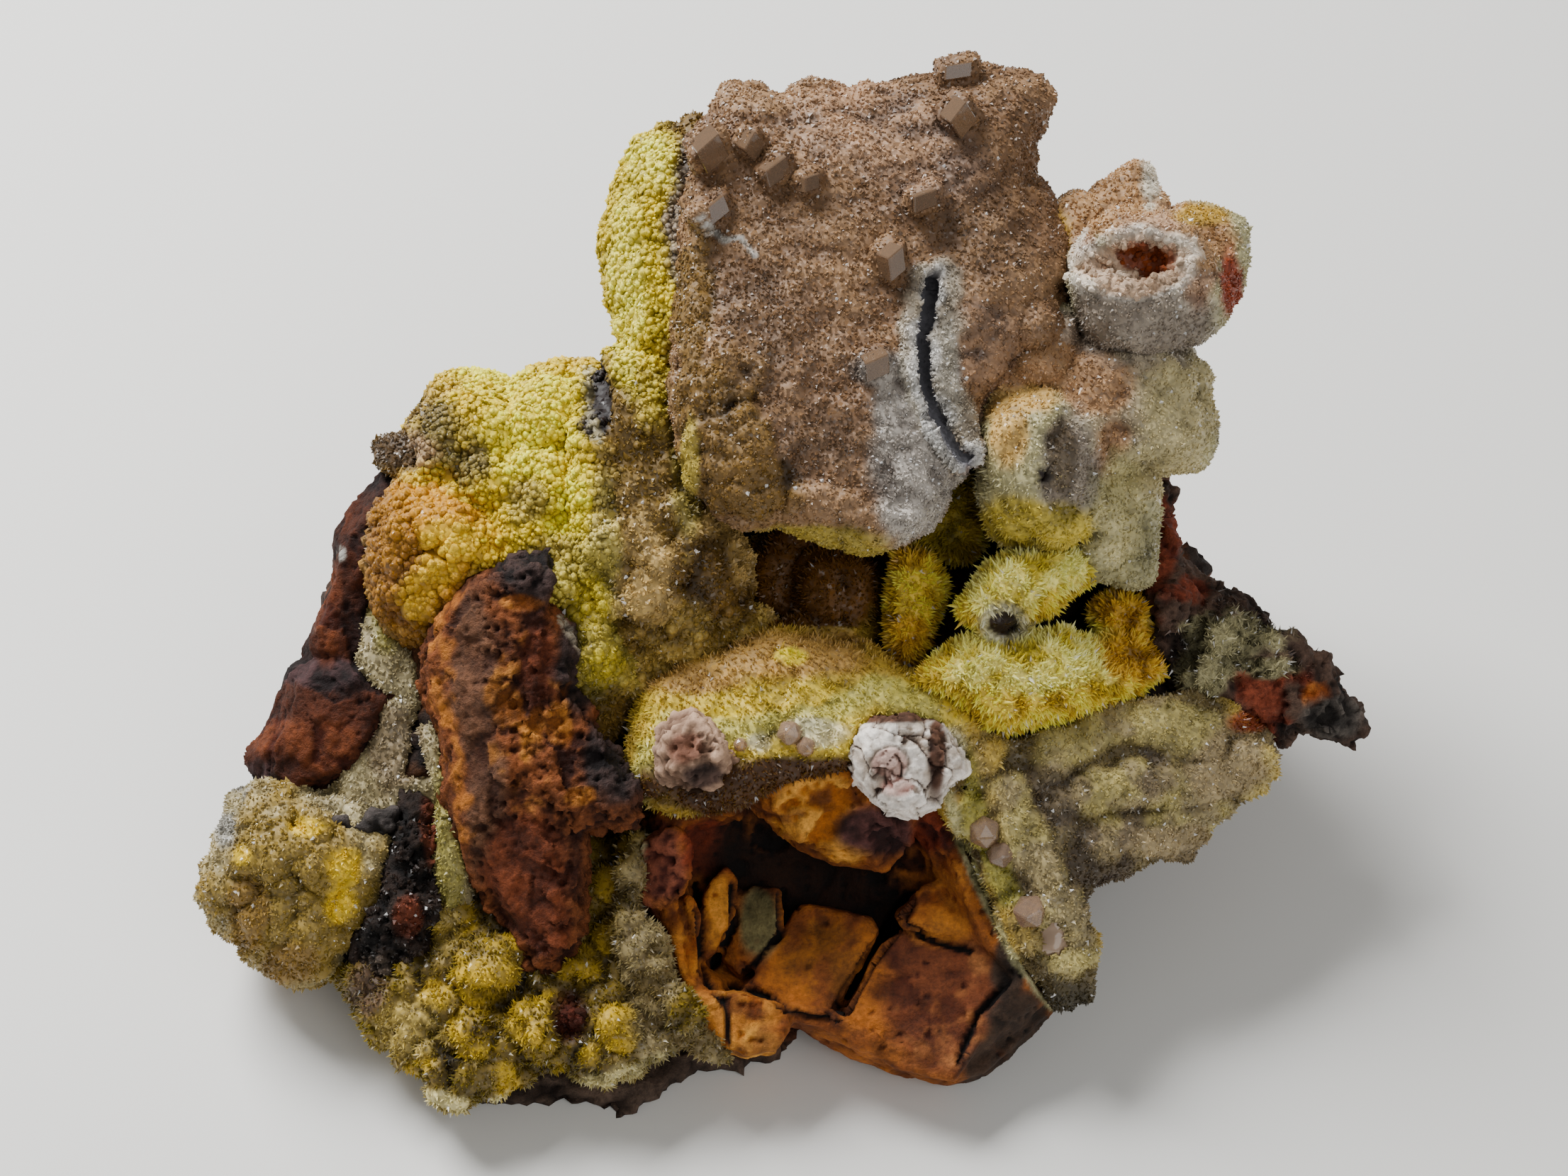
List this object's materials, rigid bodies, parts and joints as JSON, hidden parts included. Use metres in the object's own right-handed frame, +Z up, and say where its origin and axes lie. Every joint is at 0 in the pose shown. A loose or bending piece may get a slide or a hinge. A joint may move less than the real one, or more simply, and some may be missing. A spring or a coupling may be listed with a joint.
{
  "type": "mimetite specimen",
  "caption": "Loose mineral specimen of yellow mimetite druse on rusty limonite, with a flat tan druse slab on top, spiky fingers in a cavity and a blocky rust-red hollow in front.",
  "frame": {"origin": "middle of the flat underside of the limonite body, on the table", "axes": "+X to the right as seen from the front, +Y to the back, +Z up, towards the tan slab"},
  "size_m": [0.116, 0.0868, 0.0692],
  "materials": {
    "limonite": "dull",
    "orange_limonite": "dull",
    "dark_limonite": "dull",
    "yellow_druse": "sparkling",
    "tan_druse": "sparkling",
    "pale_druse": "sparkling",
    "pale_core": "chalky",
    "clear_calcite": "glassy"
  },
  "bodies": {
    "root": {"limonite_body": "limonite", "white_nodule": "pale_core", "pink_nodule": "pale_core", "grey_dumbbell": "dark_limonite", "clear_crystal": "clear_calcite", "tan_slab": "tan_druse", "right_cluster": "pale_druse", "fingers": "yellow_druse", "upright_finger": "yellow_druse", "back_finger": "yellow_druse", "rust_slab": "limonite", "dark_rock": "dark_limonite", "left_rock": "limonite", "left_druse": "yellow_druse", "front_bed": "yellow_druse", "blocky_hollow": "orange_limonite", "middle_druse": "yellow_druse", "lower_druse": "yellow_druse", "right_rock": "dark_limonite"}
  },
  "joints": []
}
